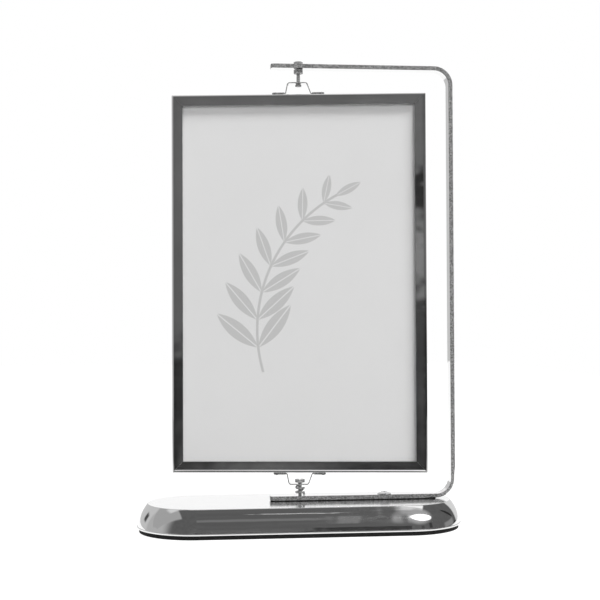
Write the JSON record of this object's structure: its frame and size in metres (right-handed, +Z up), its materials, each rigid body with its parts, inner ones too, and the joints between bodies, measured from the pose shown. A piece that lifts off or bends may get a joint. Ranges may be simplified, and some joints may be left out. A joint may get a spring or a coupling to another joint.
{
  "type": "swivel picture frame",
  "caption": "Double-sided portrait picture frame that swivels on a vertical axis between the limbs of a bent steel arm, on a weighted chrome base with half-round ends.",
  "frame": {"origin": "middle of the sole's underside, on the table, under the swivel axis", "axes": "+Z up along the swivel axis, +X along the base towards the arm's upright, +Y to the back"},
  "size_m": [0.1312, 0.0486, 0.1896],
  "materials": {
    "chrome": "polished chrome plate on steel",
    "steel": "bright zinc-plated steel",
    "ballast": "raw plate, hidden in the base",
    "sole": "matt black",
    "glass": "clear, flat",
    "picture_paper": "pale grey matt print",
    "board": "grey board"
  },
  "bodies": {
    "stand": {"base_shell": "chrome", "ballast_plate": "ballast", "base_sole": "sole", "arm_pad": "sole", "bracket_arm": "chrome", "arm_screw": "chrome", "arm_screw_nut": "steel", "lower_pivot_screw": "steel", "lower_pivot_nut": "steel", "pivot_spring": "steel", "upper_pivot_screw": "steel", "upper_pivot_nut": "steel", "upper_pivot_jam_nut": "steel", "upper_pivot_lock_washer": "steel"},
    "picture_frame": {"top_rail": "chrome", "bottom_rail": "chrome", "left_rail": "chrome", "right_rail": "chrome", "top_left_corner_angle": "steel", "top_right_corner_angle": "steel", "bottom_left_corner_angle": "steel", "bottom_right_corner_angle": "steel", "front_glass": "glass", "rear_glass": "glass", "front_picture": "picture_paper", "rear_picture": "picture_paper", "divider_board": "board", "top_hat_bracket": "chrome", "bottom_hat_bracket": "chrome", "top_left_rivet": "steel", "top_right_rivet": "steel", "bottom_left_rivet": "steel", "bottom_right_rivet": "steel"}
  },
  "joints": [
    {"name": "frame_swivel", "type": "hinge", "parent": "stand", "child": "picture_frame", "pos_m": [0, 0, 0.0991], "axis": [0, 0, 1], "continuous": true}
  ]
}
